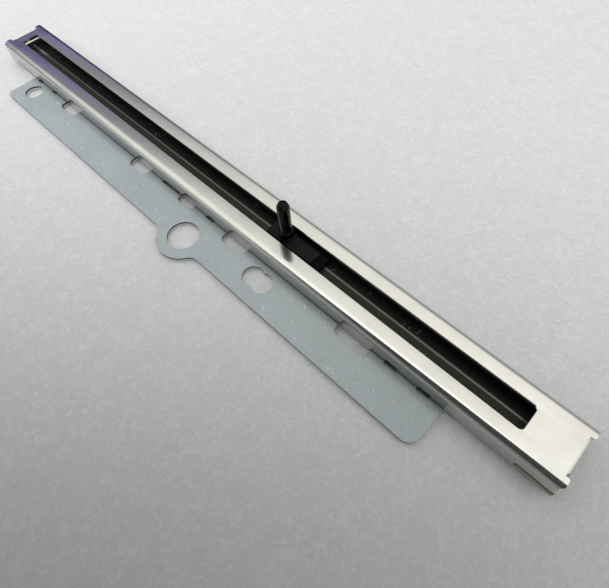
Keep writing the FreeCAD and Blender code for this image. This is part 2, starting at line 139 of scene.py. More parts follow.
# %% Helpers for selecting faces and adding modifiers
def select_faces(piece, wanted):
    """Goes into edit mode with only those faces selected whose middle and normal are wanted."""
    make_active(piece)
    bpy.ops.object.mode_set(mode="EDIT")
    bpy.ops.mesh.select_mode(type="FACE")
    bpy.ops.mesh.select_all(action="DESELECT")
    bpy.ops.object.mode_set(mode="OBJECT")
    for face in piece.data.polygons:
        face.select = bool(wanted(face.center, face.normal))
    bpy.ops.object.mode_set(mode="EDIT")


def add_modifier(piece, kind, **settings):
    modifier = piece.modifiers.new(kind.title(), kind)
    for name, value in settings.items():
        setattr(modifier, name, value)


def apply_modifiers(piece):
    make_active(piece)
    for modifier in list(piece.modifiers):
        bpy.ops.object.modifier_apply(modifier=modifier.name)


# %% [markdown]
# ## Building finishes from nodes
# A finish is a small tree of shader nodes. Writing each link by hand hides the idea, so one helper adds a
# node, sets its fields, and fills each input with a number, a colour or another node's output. Two more make
# the mixes that come up in every finish: a colour between two colours, and a value spread onto a new range.

# %% Helpers for shader nodes
def put(tree, kind, inputs=None, **settings):
    """Adds a node and fills its inputs with constants or with other nodes' outputs."""
    node = tree.nodes.new(kind)
    for name, value in settings.items():
        setattr(node, name, value)
    for socket, value in (inputs or {}).items():
        if isinstance(value, bpy.types.NodeSocket):
            tree.links.new(value, node.inputs[socket])
        else:
            node.inputs[socket].default_value = value
    return node


def blend(tree, share, first, second):
    """A colour that goes from the first to the second with a share from 0 to 1."""
    return put(tree, "ShaderNodeMix", {0: share, 6: first, 7: second}, data_type="RGBA").outputs[2]


def spread(tree, value, new_low, new_high, low=0.0, high=1.0):
    """A value between low and high, moved onto a new range and held inside it."""
    inputs = {"Value": value, "From Min": low, "From Max": high, "To Min": new_low, "To Max": new_high}
    return put(tree, "ShaderNodeMapRange", inputs).outputs["Result"]


def combine(tree, operation, first, second):
    return put(tree, "ShaderNodeMath", {0: first, 1: second}, operation=operation).outputs[0]


def grey(level, blue=0.0):
    return (level, level, level + blue, 1)


# %% [markdown]
# ## Shared surface effects
# Several finishes need the same effects: lines left by the rolling mill, pale specks in a zinc coat, marks of
# fingers, grain of a mould, dust. Each is made once as a node group with named inputs and placed in each
# material with its own values. The groups read Object coordinates in metres, so a scale of 1000 means
# features about a millimetre wide.

# %% A new node group, and the rolling lines
def new_group(name, inputs, outputs):
    group = bpy.data.node_groups.new(name, "ShaderNodeTree")
    for label, value in inputs.items():
        socket = group.interface.new_socket(label, in_out="INPUT", socket_type="NodeSocketFloat")
        socket.default_value = value
    for label in outputs:
        group.interface.new_socket(label, in_out="OUTPUT", socket_type="NodeSocketFloat")
    return group, group.nodes.new("NodeGroupInput").outputs, group.nodes.new("NodeGroupOutput")


def object_place(tree, stretch=(1.0, 1.0, 1.0), turn=0.0):
    """Object coordinates, turned about Z and then squeezed or stretched along the three axes."""
    place = put(tree, "ShaderNodeTexCoord").outputs["Object"]
    if turn:
        place = put(tree, "ShaderNodeMapping", {"Vector": place, "Rotation": (0, 0, turn)}).outputs["Vector"]
    return put(tree, "ShaderNodeMapping", {"Vector": place, "Scale": stretch}).outputs["Vector"]


def place_axes(tree):
    """The surface's place, split into X, Y and Z."""
    return put(tree, "ShaderNodeSeparateXYZ", {0: object_place(tree)}).outputs


def facing_axes(tree):
    """The direction that the surface faces, split into X, Y and Z."""
    normal = put(tree, "ShaderNodeNewGeometry").outputs["Normal"]
    return put(tree, "ShaderNodeSeparateXYZ", {0: normal}).outputs


def away_from(tree, value, middle):
    """How far a value is from a middle, on either side."""
    return combine(tree, "ABSOLUTE", combine(tree, "SUBTRACT", value, middle), 0.0)


rolling_lines, given, result = new_group("rolling_lines", {"Scale": 3000.0, "Contrast": 0.25}, ["Lines"])
lines = put(rolling_lines, "ShaderNodeTexNoise",
            {"Vector": object_place(rolling_lines, (0.012, 1.0, 1.0)), "Scale": given["Scale"], "Detail": 4.0,
             "Roughness": 0.65}).outputs["Fac"]
low_end = combine(rolling_lines, "SUBTRACT", 0.5, given["Contrast"])
high_end = combine(rolling_lines, "ADD", 0.5, given["Contrast"])
rolling_lines.links.new(spread(rolling_lines, lines, 0.0, 1.0, low_end, high_end), result.inputs["Lines"])
print("group", rolling_lines.name, "with", len(rolling_lines.nodes), "nodes")

# %% Pale specks and short streaks
def scattered(tree, place, scale, size, rarity):
    """Soft dots of many sizes, one in each cell of a loose grid; a high rarity leaves most cells empty."""
    cells = put(tree, "ShaderNodeTexVoronoi", {"Vector": place, "Scale": scale}, feature="F1")
    chance = put(tree, "ShaderNodeSeparateColor", {"Color": cells.outputs["Color"]}).outputs["Red"]
    reach = combine(tree, "MULTIPLY", size, spread(tree, chance, 0.0, 1.0, rarity, 1.0))
    share = combine(tree, "DIVIDE", cells.outputs["Distance"], combine(tree, "ADD", reach, 0.001))
    return spread(tree, share, 1.0, 0.0, 0.4, 1.0)


specks, given, result = new_group("specks", {"Scale": 1500.0, "Size": 0.2, "Streaks": 0.4}, ["Mask"])
mask = scattered(specks, object_place(specks), given["Scale"], given["Size"], 0.4)
for turn in (25, -50):
    along = object_place(specks, (0.22, 1.0, 1.0), math.radians(turn))
    streak = scattered(specks, along, given["Scale"], given["Size"], 0.5)
    mask = combine(specks, "MAXIMUM", mask, combine(specks, "MULTIPLY", streak, given["Streaks"]))
specks.links.new(mask, result.inputs["Mask"])
print("group", specks.name, "with", len(specks.nodes), "nodes")

# %% Finger marks, and the grain of moulded and printed surfaces
marks, given, result = new_group("finger_marks", {"Scale": 160.0}, ["Mask"])
cloud = put(marks, "ShaderNodeTexNoise",
            {"Vector": object_place(marks), "Scale": given["Scale"], "Detail": 3.0,
             "Distortion": 0.6}).outputs["Fac"]
marks.links.new(spread(marks, cloud, 0.0, 1.0, 0.42, 0.72), result.inputs["Mask"])

grain, given, result = new_group("grain", {"Scale": 6000.0}, ["Height"])
fine = put(grain, "ShaderNodeTexNoise",
           {"Vector": object_place(grain), "Scale": given["Scale"], "Detail": 2.0})
grain.links.new(fine.outputs["Fac"], result.inputs["Height"])
print("groups", marks.name, "and", grain.name)

# %% Worn edges, and dust on faces that look up
edges, given, result = new_group("worn_edges", {"Width": 0.00008, "Strength": 3.0}, ["Mask"])
rounded = put(edges, "ShaderNodeBevel", {"Radius": given["Width"]}, samples=6).outputs["Normal"]
true_normal = put(edges, "ShaderNodeNewGeometry").outputs["Normal"]
agreement = put(edges, "ShaderNodeVectorMath", {0: rounded, 1: true_normal}, operation="DOT_PRODUCT")
bend = combine(edges, "SUBTRACT", 1.0, agreement.outputs["Value"])
worn = spread(edges, combine(edges, "MULTIPLY", bend, given["Strength"]), 0.0, 1.0)
edges.links.new(worn, result.inputs["Mask"])

dust, given, result = new_group("dust", {"Scale": 2600.0, "Amount": 0.2}, ["Mask"])
upward = facing_axes(dust)["Z"]
grains = put(dust, "ShaderNodeGroup", {"Scale": given["Scale"], "Size": given["Amount"], "Streaks": 0.3},
             node_tree=specks).outputs["Mask"]
lying = combine(dust, "MULTIPLY", grains, spread(dust, upward, 0.0, 1.0, 0.6, 1.0))
dust.links.new(lying, result.inputs["Mask"])
print("groups", edges.name, "and", dust.name)

# %% [markdown]
# ## Bright plated steel
# The cover is thin steel with a bright plating: nearly a mirror, but blurred, with faint lines along the
# sheet from rolling and dull marks from handling. A metal shader with low roughness does most of it. The
# lines and the marks change the roughness more than the colour, because that is how they show on real
# plating. The wall that faces the bracket is painted darker than the top, as painted shade. Punching the
# long slot also let its two lips sag a few hundredths of a millimetre, and no thin sheet is quite flat. On a
# mirror both show, so the sag and a slow wave are added to the bump height.

# %% Helpers for materials, and the sag of the slot's lips
def new_material(slot):
    """A new material for one of the record's slots, with its shader."""
    material = bpy.data.materials.new(slot + "_finish")
    material.use_nodes = True
    return material, material.node_tree, material.node_tree.nodes["Principled BSDF"]


def use(tree, group, output, **inputs):
    """Places a shared effect in a material and gives its output."""
    values = {label.replace("_", " "): value for label, value in inputs.items()}
    return put(tree, "ShaderNodeGroup", values, node_tree=group).outputs[output]


def bump(tree, height, distance, strength=0.3):
    inputs = {"Height": height, "Distance": distance, "Strength": strength}
    return put(tree, "ShaderNodeBump", inputs).outputs["Normal"]


SLOT_MIDDLE = 0.003785
LIP = (0.0016, 0.0031)
LIP_SLOPE, LIP_EASING = 0.07, 0.026
LIP_FAR, LIP_NEAR = (-0.058, -0.053), (0.049, 0.055)


def slot_sag(tree):
    """Height in metres of the cover's lips, which slope down to the slot by 4 degrees at its edge."""
    place = place_axes(tree)
    across = spread(tree, away_from(tree, place["Y"], SLOT_MIDDLE), 0.0, 1.0, *LIP)
    slope = combine(tree, "SUBTRACT", LIP_SLOPE, combine(tree, "MULTIPLY", across, LIP_EASING))
    rise = combine(tree, "MULTIPLY", across, combine(tree, "MULTIPLY", slope, LIP[1] - LIP[0]))
    inside = combine(tree, "MULTIPLY", spread(tree, place["X"], 1.0, 0.0, *LIP_NEAR),
                     spread(tree, place["X"], 0.0, 1.0, *LIP_FAR))
    return combine(tree, "MULTIPLY", rise, inside)


# %% The plating's tones, gloss and waves
PLATE_TONES = (0.79, 0.785, 0.765, 1), (0.83, 0.825, 0.805, 1)
SMUDGED_PLATE, SHADED_WALL_TONE = (0.60, 0.61, 0.62, 1), (0.52, 0.515, 0.50, 1)
WORN_PLATE = (0.93, 0.93, 0.92, 1)
SHADED_WALL_FACING = (-0.97, -0.80)
MILL_HEIGHT, WAVE_HEIGHT = 0.0000004, 0.00003

plated_steel, tree, shader = new_material("plated_steel")
mill = use(tree, rolling_lines, "Lines", Scale=2600.0, Contrast=0.3)
smudge = use(tree, marks, "Mask", Scale=210.0)
wear = use(tree, edges, "Mask", Width=0.00006, Strength=2.5)
wave = use(tree, grain, "Height", Scale=170.0)
sheet_tone = blend(tree, mill, *PLATE_TONES)
sheet_tone = blend(tree, combine(tree, "MULTIPLY", smudge, 0.22), sheet_tone, SMUDGED_PLATE)
# Painted shade: the wall facing the bracket gets a darker base colour than the top.
wall_shade = spread(tree, facing_axes(tree)["Y"], 1.0, 0.0, *SHADED_WALL_FACING)
sheet_tone = blend(tree, wall_shade, sheet_tone, SHADED_WALL_TONE)
tree.links.new(blend(tree, wear, sheet_tone, WORN_PLATE), shader.inputs["Base Color"])
gloss = combine(tree, "ADD", spread(tree, mill, 0.17, 0.13), combine(tree, "MULTIPLY", smudge, 0.05))
tree.links.new(gloss, shader.inputs["Roughness"])
height = combine(tree, "ADD", slot_sag(tree), combine(tree, "MULTIPLY", mill, MILL_HEIGHT))
height = combine(tree, "ADD", height, combine(tree, "MULTIPLY", wave, WAVE_HEIGHT))
tree.links.new(bump(tree, height, 1.0, 1.0), shader.inputs["Normal"])
shader.inputs["Metallic"].default_value = 1.0
print("finish", plated_steel.name, "with", len(tree.nodes), "nodes")

# %% [markdown]
# ## Zinc coat
# The bracket is steel strip with a zinc coat that has gone dull: blue-grey, satin, with pale specks and short
# streaks where the crystals catch the light. It is much rougher than the plating and partly covered by oxide,
# so it is only partly metallic. Slow clouds keep the long strip from looking even. Along the channel's foot a
# thin dark seam marks the joint, and painted shade beside it darkens the strip. A punched edge has no coat:
# its upper part is sheared smooth and dark, and below that the steel broke off pale and rough.

# %% A dark seam and painted shade at the channel's foot, and punched edges
CHANNEL_FOOT = SLOT_MIDDLE - 0.0042
SEAM, SHADE = (0.00008, 0.00025), (0.0, 0.0013)
SHEARED_FROM = (0.00046, 0.00052)
BROKEN_STEEL, SHEARED_STEEL = (0.60, 0.61, 0.62, 1), (0.05, 0.055, 0.06, 1)


def foot_seam_and_shade(tree):
    """A thin dark seam at the channel's foot, with a softer painted shade beside it."""
    off = away_from(tree, place_axes(tree)["Y"], CHANNEL_FOOT)
    return combine(tree, "MAXIMUM", spread(tree, off, 0.85, 0.0, *SEAM), spread(tree, off, 0.45, 0.0, *SHADE))


def punched_edge(tree, face_tone):
    """The face's tone, with a dark sheared band and a pale broken band on upright faces."""
    sheared = spread(tree, place_axes(tree)["Z"], 0.0, 1.0, *SHEARED_FROM)
    cut_tone = blend(tree, sheared, BROKEN_STEEL, SHEARED_STEEL)
    return blend(tree, spread(tree, facing_axes(tree)["Z"], 1.0, 0.0, 0.15, 0.5), face_tone, cut_tone)


# %% The coat's clouds and flakes
ZINC_TONES = (0.44, 0.50, 0.535, 1), (0.49, 0.55, 0.585, 1)
ZINC_PORES, ZINC_FLAKES = (0.36, 0.41, 0.44, 1), (0.96, 0.98, 0.98, 1)
ZINC_SEAM_AND_SHADE, WORN_ZINC = (0.06, 0.07, 0.075, 1), (0.86, 0.89, 0.91, 1)

zinc_steel, tree, shader = new_material("zinc_steel")
cloud = use(tree, marks, "Mask", Scale=130.0)
flake = use(tree, specks, "Mask", Scale=2300.0, Size=0.24, Streaks=0.8)
fine_flake = use(tree, specks, "Mask", Scale=5200.0, Size=0.34, Streaks=0.7)
flakes = combine(tree, "MAXIMUM", flake, combine(tree, "MULTIPLY", fine_flake, 0.6))
skin = use(tree, grain, "Height", Scale=4200.0)
zinc_tone = blend(tree, cloud, *ZINC_TONES)
zinc_tone = blend(tree, combine(tree, "MULTIPLY", skin, 0.25), zinc_tone, ZINC_PORES)
zinc_tone = blend(tree, combine(tree, "MULTIPLY", flakes, 0.8), zinc_tone, ZINC_FLAKES)
# A dark seam at the joint, and painted shade beside it along the channel's foot.
zinc_tone = blend(tree, foot_seam_and_shade(tree), zinc_tone, ZINC_SEAM_AND_SHADE)
wear = use(tree, edges, "Mask", Width=0.00007, Strength=2.5)
zinc_tone = blend(tree, wear, zinc_tone, WORN_ZINC)
tree.links.new(punched_edge(tree, zinc_tone), shader.inputs["Base Color"])
dull = combine(tree, "ADD", spread(tree, cloud, 0.42, 0.50), combine(tree, "MULTIPLY", flakes, -0.06))
tree.links.new(dull, shader.inputs["Roughness"])
tree.links.new(bump(tree, combine(tree, "ADD", skin, flakes), 0.000006, 0.3), shader.inputs["Normal"])
shader.inputs["Metallic"].default_value = 0.22
print("finish", zinc_steel.name, "with", len(tree.nodes), "nodes")

# %% [markdown]
# ## Board and printed films
# The board is pressed paper and resin: brown with a pale core where it was cut, and slightly streaky on its
# face, which is painted almost black olive as painted shade under the cover. Carbon ink makes the track:
# black, satin, faintly grainy. Silver ink makes the collector line and pads: a metal painted dull and dark as
# painted shade under the cover, polished where the wiper runs, and painted bright at the far end as painted
# light from the open end. Dust that fell through the slot lies on all of them, so the three share one way of
# making a finish and differ in a few values.

# %% One way to finish the board and the films
WIPED_LINE, WIPED_WIDTH = 0.004095, (0.00005, 0.00013)
FAR_END_LIGHT = (-0.0515, -0.0500)
CORE_TOP = (0.0014, 0.0015)
DUST_TONE = (0.55, 0.54, 0.50, 1)


def printed_finish(name, dark, light, cut, core, polish_and_light_tone, rough, metallic, shine):
    """A streaky face, two more tones on cut edges, and one where the wiper polishes it and at the far end, where
    it is painted light.
    """
    material, tree, shader = new_material(name)
    streak = use(tree, rolling_lines, "Lines", Scale=4000.0, Contrast=0.35)
    tooth = use(tree, grain, "Height", Scale=9000.0)
    tone = blend(tree, streak, dark, light)
    tone = blend(tree, combine(tree, "MULTIPLY", tooth, 0.3), tone, dark)
    place = place_axes(tree)
    edge_tone = blend(tree, spread(tree, place["Z"], 0.0, 1.0, *CORE_TOP), core, cut)
    tone = blend(tree, spread(tree, facing_axes(tree)["Z"], 1.0, 0.0, 0.2, 0.7), tone, edge_tone)
    # Painted light: towards the far end each film blends to the given tone, bright on silver; along the wiper's
    # line it is polish.
    off = away_from(tree, place["Y"], WIPED_LINE)
    line = combine(tree, "MAXIMUM", spread(tree, off, 0.4, 0.0, *WIPED_WIDTH),
                   spread(tree, place["X"], 1.0, 0.0, *FAR_END_LIGHT))
    tone = blend(tree, line, tone, polish_and_light_tone)
    fallen = combine(tree, "MULTIPLY", use(tree, dust, "Mask", Scale=1500.0, Amount=0.2), 0.4)
    tree.links.new(blend(tree, fallen, tone, DUST_TONE), shader.inputs["Base Color"])
    tree.links.new(spread(tree, tooth, rough - 0.06, rough + 0.06), shader.inputs["Roughness"])
    tree.links.new(bump(tree, tooth, 0.000005, 0.2), shader.inputs["Normal"])
    shader.inputs["Metallic"].default_value = metallic
    shader.inputs["Specular IOR Level"].default_value = shine
    print("finish", name, "with", len(tree.nodes), "nodes")
    return material


# %% The board, the carbon track and the silver films
# Painted shade: the board's face tones and the dull silver stand for these surfaces in the cover's shade; the
# bright silver is polish along the wiper's line and painted light at the far end.
SHADED_OLIVE, PALE_SHADED_OLIVE = (0.013, 0.012, 0.007, 1), (0.024, 0.022, 0.013, 1)
BROWN, PALE_BROWN = (0.10, 0.085, 0.065, 1), (0.36, 0.335, 0.285, 1)
SOFT_BLACK = grey(0.008)
SHADED_SILVER, POLISHED_AND_LIT_SILVER = grey(0.08), grey(0.38)
phenolic = printed_finish("phenolic", SHADED_OLIVE, PALE_SHADED_OLIVE, BROWN, PALE_BROWN, SHADED_OLIVE, 0.5, 0.0, 0.3)
carbon_film = printed_finish("carbon_film", grey(0.004), *[SOFT_BLACK] * 4, 0.5, 0.0, 0.15)
silver_film = printed_finish("silver_film", grey(0.05), *[SHADED_SILVER] * 3, POLISHED_AND_LIT_SILVER, 0.45, 1.0, 0.5)

# %% [markdown]
# ## Plastics, rubber and small metals
# The carriage is moulded plastic with a fine matt grain, painted black below its top step as painted shade,
# the lever is smooth glossy black, and the end cushions are rubber. The solder lugs are tinned brass and the
# wipers are bronze. Moulded and metal finishes each come from one short recipe: a base colour that varies a
# little, a roughness with marks in it, and a grain in the bump.

# %% Recipes for mouldings and for small metals
WORN_PLASTIC, PAINTED_SHADE_BLACK = grey(0.06), grey(0.0005)
LOW_SHADE_FADE = 0.00005


def moulded_finish(name, dark, light, smooth, rough, grain_scale, grain_height, shine, shade_level=-1.0):
    """A mould's grain over a colour that varies a little; below the shade level it is painted black as painted
    shade.
    """
    material, tree, shader = new_material(name)
    smudge = use(tree, marks, "Mask", Scale=420.0)
    tooth = use(tree, grain, "Height", Scale=grain_scale)
    wear = use(tree, edges, "Mask", Width=0.00005, Strength=1.5)
    level = place_axes(tree)["Z"]
    # Painted shade: below the given level the colour goes to black.
    low_shade = spread(tree, level, 1.0, 0.0, shade_level - LOW_SHADE_FADE, shade_level + LOW_SHADE_FADE)
    tone = blend(tree, combine(tree, "MULTIPLY", wear, 0.3), blend(tree, smudge, dark, light), WORN_PLASTIC)
    tree.links.new(blend(tree, low_shade, tone, PAINTED_SHADE_BLACK), shader.inputs["Base Color"])
    tree.links.new(spread(tree, smudge, smooth, rough), shader.inputs["Roughness"])
    tree.links.new(bump(tree, tooth, grain_height, 0.3), shader.inputs["Normal"])
    shader.inputs["Specular IOR Level"].default_value = shine
    print("finish", name, "with", len(tree.nodes), "nodes")
    return material


def metal_finish(name, dull_tone, bright_tone, smooth, rough):
    material, tree, shader = new_material(name)
    smudge = use(tree, marks, "Mask", Scale=600.0)
    drawn = use(tree, rolling_lines, "Lines", Scale=6000.0, Contrast=0.35)
    wear = use(tree, edges, "Mask", Width=0.00005, Strength=2.0)
    tone = blend(tree, combine(tree, "MULTIPLY", drawn, smudge), bright_tone, dull_tone)
    tone = blend(tree, combine(tree, "MULTIPLY", wear, 0.5), tone, grey(0.9))
    tree.links.new(tone, shader.inputs["Base Color"])
    tree.links.new(spread(tree, smudge, smooth, rough), shader.inputs["Roughness"])
    tree.links.new(bump(tree, drawn, 0.000003, 0.3), shader.inputs["Normal"])
    shader.inputs["Metallic"].default_value = 1.0
    print("finish", name, "with", len(tree.nodes), "nodes")
    return material


# %% The moulded and metal finishes
# Level below which the carriage is painted black as painted shade.
CARRIAGE_SHADE_LEVEL = 0.0029

carriage_plastic = moulded_finish("carriage_plastic", grey(0.011), grey(0.016), 0.55, 0.68, 7000.0, 0.000008, 0.1,
                                  CARRIAGE_SHADE_LEVEL)
lever_black = moulded_finish("lever_black", grey(0.0008), grey(0.0015), 0.16, 0.26, 3000.0, 0.000003, 0.15)
rubber = moulded_finish("rubber", grey(0.010), grey(0.016), 0.70, 0.85, 5000.0, 0.000012, 0.3)
tinned_brass = metal_finish("tinned_brass", (0.52, 0.49, 0.42, 1), (0.74, 0.72, 0.67, 1), 0.24, 0.38)
bronze = metal_finish("bronze", (0.42, 0.25, 0.11, 1), (0.62, 0.40, 0.19, 1), 0.22, 0.34)
spring_steel = metal_finish("spring_steel", (0.34, 0.34, 0.34, 1), (0.52, 0.52, 0.51, 1), 0.20, 0.32)

# %% [markdown]
# ## Edges of stamped and moulded pieces
# No real sheet has a knife edge: a punch rolls one side of the cut over, and a mould leaves a small radius.
# Those narrow rounds catch the light and are what makes metal look like metal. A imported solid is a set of
# loose triangles, so a copy of it is merged, its flat faces are joined, a Bevel modifier rounds the sharp
# edges, and a Weighted Normal modifier keeps the large faces flat under the light. The modifier never lets
# rounds overlap, so a piece with very short edges, such as the cover, gets much narrower rounds than the
# width it asks for.

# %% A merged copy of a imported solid, and its softened edges
def merged_copy(node, name):
    """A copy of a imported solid, a thousand times larger, with its triangles joined into whole faces."""
    piece = bpy.data.objects.new(name, nodes[node].data.copy())
    bpy.context.scene.collection.objects.link(piece)
    piece.data.materials.clear()
    resize(piece, 1 / MM)
    bpy.ops.object.mode_set(mode="EDIT")
    bpy.ops.mesh.select_all(action="SELECT")
    bpy.ops.mesh.remove_doubles(threshold=0.001)
    bpy.ops.mesh.dissolve_limited(angle_limit=math.radians(0.5))
    bpy.ops.object.mode_set(mode="OBJECT")
    if "custom_normal" in piece.data.attributes:
        piece.data.attributes.remove(piece.data.attributes["custom_normal"])
    return piece


def soften(piece, node, width, material, segments=2, angle=40):
    """Rounds the sharp edges narrowly and shrinks the piece to its size; it then stands for its solid."""
    add_modifier(piece, "BEVEL", width=width, segments=segments, limit_method="ANGLE",
                 angle_limit=math.radians(angle), use_clamp_overlap=True)
    apply_modifiers(piece)
    bpy.ops.object.shade_smooth_by_angle(angle=math.radians(angle))
    add_modifier(piece, "WEIGHTED_NORMAL", keep_sharp=True, weight=50)
    apply_modifiers(piece)
    resize(piece, MM)
    finish_piece(piece, nodes[node]["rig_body"], node, material)


def finish_piece(piece, body, node, material):
    """A finished piece rides on its body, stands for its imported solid, and wears one finish."""
    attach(piece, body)
    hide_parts(node)
    piece.data.materials.append(material)
    report(piece)


# %% [markdown]
# ## Rolled slot and rounded ears of the cover
# The punch that cut the slot came from above and pulled the sheet's edge down with it, so the rim is rounder
# than the other cuts. Only the far end, where the punch left last, stayed crisp. The small ears beside the
# end flaps have rounded corners. Both sets of edges are picked by their place and bevelled in edit mode
# before the narrow rounds follow.

# %% Rounding chosen edges
def bevel_edges(piece, wanted, offset, segments):
    """Rounds those edges of which both ends are wanted."""
    picked = [bool(wanted(vertex.co)) for vertex in piece.data.vertices]
    select_faces(piece, lambda middle, normal: False)
    bpy.ops.mesh.select_mode(type="EDGE")
    bpy.ops.object.mode_set(mode="OBJECT")
    for edge in piece.data.edges:
        edge.select = picked[edge.vertices[0]] and picked[edge.vertices[1]]
    print(piece.name, "gets", sum(edge.select for edge in piece.data.edges), "rounder edges")
    bpy.ops.object.mode_set(mode="EDIT")
    bpy.ops.mesh.bevel(offset=offset, segments=segments, affect="EDGES")
    bpy.ops.object.mode_set(mode="OBJECT")


# %% The folded cover
ROLLED_EDGE, EAR_ROUND = 0.18, 0.28
SLOT_FAR, SLOT_NEAR, SLOT_HALF = -54.3, 51.5, 1.6
EAR_INSIDE = 2.6
CLOSE = 0.01

cover = merged_copy("top_cover", "cover_shell")
top, tip = [max(vertex.co[axis] for vertex in cover.data.vertices) for axis in (2, 0)]
middle_line = SLOT_MIDDLE / MM
bevel_edges(cover, lambda place: abs(place.z - top) < CLOSE and SLOT_FAR < place.x < SLOT_NEAR
            and abs(place.y - middle_line) < SLOT_HALF, ROLLED_EDGE, 4)
bevel_edges(cover, lambda place: abs(abs(place.y - middle_line) - EAR_INSIDE) < CLOSE
            and abs(place.x) > tip - CLOSE, EAR_ROUND, 4)
soften(cover, "top_cover", 0.07, plated_steel)

# %% The stamped bracket, the moulded carriage and the board
soften(merged_copy("mounting_bracket", "bracket_plate"), "mounting_bracket", 0.09, zinc_steel)
soften(merged_copy("carriage", "slider_block"), "carriage", 0.06, carriage_plastic)
soften(merged_copy("element_board", "board_plate"), "element_board", 0.04, phenolic)

# %% The end cushions and the solder lugs
for end in ("far", "near"):
    soften(merged_copy(end + "_cushions", end + "_end_pads"), end + "_cushions", 0.12, rubber, segments=3)
for end in ("start", "end", "wiper"):
    soften(merged_copy(end + "_terminal", end + "_lug"), end + "_terminal", 0.05, tinned_brass)

# %% [markdown]
# ## Lever pin
# The lever is a turned pin, black and glossy, with a low collar that sits on the carriage's boss, a thin
# shank below it, and a tip that narrows so that a knob slides on easily. A cylinder primitive gives the
# collar. Its lower cap is inset and extruded to make the shank, its upper cap is inset and extruded twice to
# make the pin and the tip, and the end is scaled down. Bevels round the collar's rim and the tip. Smoothing
# stops at 20 degrees, which keeps the line where the tip starts to narrow.

# %% The lever from a cylinder
SHANK_RADIUS = 0.6
COLLAR_RADIUS, COLLAR_HEIGHT, COLLAR_ROUND = 1.04, 0.9, 0.08
TIP_HEIGHT, TIP_INSET, TIP_ROUND = 0.6, 0.27, 0.06
SMOOTH_BELOW = 20

pin_low, pin_high = [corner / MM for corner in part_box("lever_pin")]
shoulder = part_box("carriage")[1].z / MM
pin_radius = (pin_high.x - pin_low.x) / 2
pin_middle = (pin_low + pin_high) / 2
deselect()
bpy.ops.mesh.primitive_cylinder_add(vertices=64, radius=COLLAR_RADIUS, depth=COLLAR_HEIGHT,
                                    location=(pin_middle.x, pin_middle.y, shoulder + COLLAR_HEIGHT / 2))
lever = bpy.context.object
lever.name = "lever_post"
bpy.ops.object.transform_apply(location=True, rotation=True, scale=True)
print("collar from", round(shoulder, 2), "to", round(shoulder + COLLAR_HEIGHT, 2), "mm")


def raise_faces(height):
    """Extrudes the selected faces upwards, or downwards with a negative height."""
    bpy.ops.mesh.extrude_region_move(TRANSFORM_OT_translate={"value": (0, 0, height)})


# %% Shank, pin, tip and rounds of the lever
select_faces(lever, lambda middle, normal: normal.z < -0.9)
bpy.ops.mesh.inset(thickness=COLLAR_RADIUS - SHANK_RADIUS)
raise_faces(pin_low.z - shoulder)
collar_top = shoulder + COLLAR_HEIGHT
select_faces(lever, lambda middle, normal: normal.z > 0.9)
bpy.ops.mesh.inset(thickness=COLLAR_RADIUS - pin_radius)
raise_faces(pin_high.z - TIP_HEIGHT - collar_top)
raise_faces(TIP_HEIGHT)
narrowing = 1 - TIP_INSET / pin_radius
bpy.ops.transform.resize(value=(narrowing, narrowing, 1),
                         center_override=(pin_middle.x, pin_middle.y, pin_high.z))
bpy.ops.mesh.bevel(offset=TIP_ROUND, segments=4, affect="EDGES")
select_faces(lever, lambda middle, normal: normal.z > 0.9 and abs(middle.z - collar_top) < CLOSE)
bpy.ops.mesh.region_to_loop()
bpy.ops.mesh.bevel(offset=COLLAR_ROUND, segments=5, affect="EDGES")
bpy.ops.object.mode_set(mode="OBJECT")

bpy.ops.object.shade_smooth_by_angle(angle=math.radians(SMOOTH_BELOW))
resize(lever, MM)
finish_piece(lever, "slider", "lever_pin", lever_black)

# %% [markdown]
# ## Hollow rivets
# Each solder lug is held by a hollow rivet: a small tube through board and lug whose ends are rolled over
# into round flanges. One circle, extruded and resized step by step, traces the bore, the rolled lip, the
# flange and the shank, and bridging its last ring to its first closes the tube. It is made once and copied to
# the other two holes.

# %% One rivet, ring by ring
RIVET_PLACES = ((-56.125, 2.185), (56.075, 5.26), (56.075, 3.185))
RIVET_BORE, RIVET_SHANK, RIVET_FLANGE = 0.25, 0.4, 0.6
FLANGE_THICKNESS = 0.15

rivet_low, rivet_high = [corner.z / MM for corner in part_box("terminal_rivets")]
lip = (RIVET_BORE + RIVET_FLANGE) / 2
thin = FLANGE_THICKNESS / 3
upper_half = [
    (RIVET_BORE + 0.06, rivet_high - thin),
    (lip, rivet_high),
    (RIVET_FLANGE - 0.05, rivet_high - thin),
    (RIVET_FLANGE, rivet_high - 2 * thin),
    (RIVET_FLANGE - 0.03, rivet_high - FLANGE_THICKNESS),
    (RIVET_SHANK, rivet_high - FLANGE_THICKNESS),
]
lower_half = [(radius, rivet_low + rivet_high - z) for radius, z in reversed(upper_half)]
rings = upper_half + lower_half + [(RIVET_BORE, rivet_low + FLANGE_THICKNESS)]

first_x, first_y = RIVET_PLACES[0]
level = rivet_high - FLANGE_THICKNESS
deselect()
bpy.ops.mesh.primitive_circle_add(vertices=36, radius=RIVET_BORE, location=(first_x, first_y, level))
rivet = bpy.context.object
rivet.name = "start_rivet"
bpy.ops.object.transform_apply(location=True, rotation=True, scale=True)
bpy.ops.object.mode_set(mode="EDIT")
bpy.ops.mesh.select_mode(type="EDGE")
bpy.ops.mesh.select_all(action="SELECT")
radius = RIVET_BORE
for next_radius, next_level in rings:
    bpy.ops.mesh.extrude_edges_move(TRANSFORM_OT_translate={"value": (0, 0, next_level - level)})
    growth = next_radius / radius
    bpy.ops.transform.resize(value=(growth, growth, 1), center_override=(first_x, first_y, next_level))
    radius, level = next_radius, next_level
print("rings of one rivet:", len(rings) + 1)

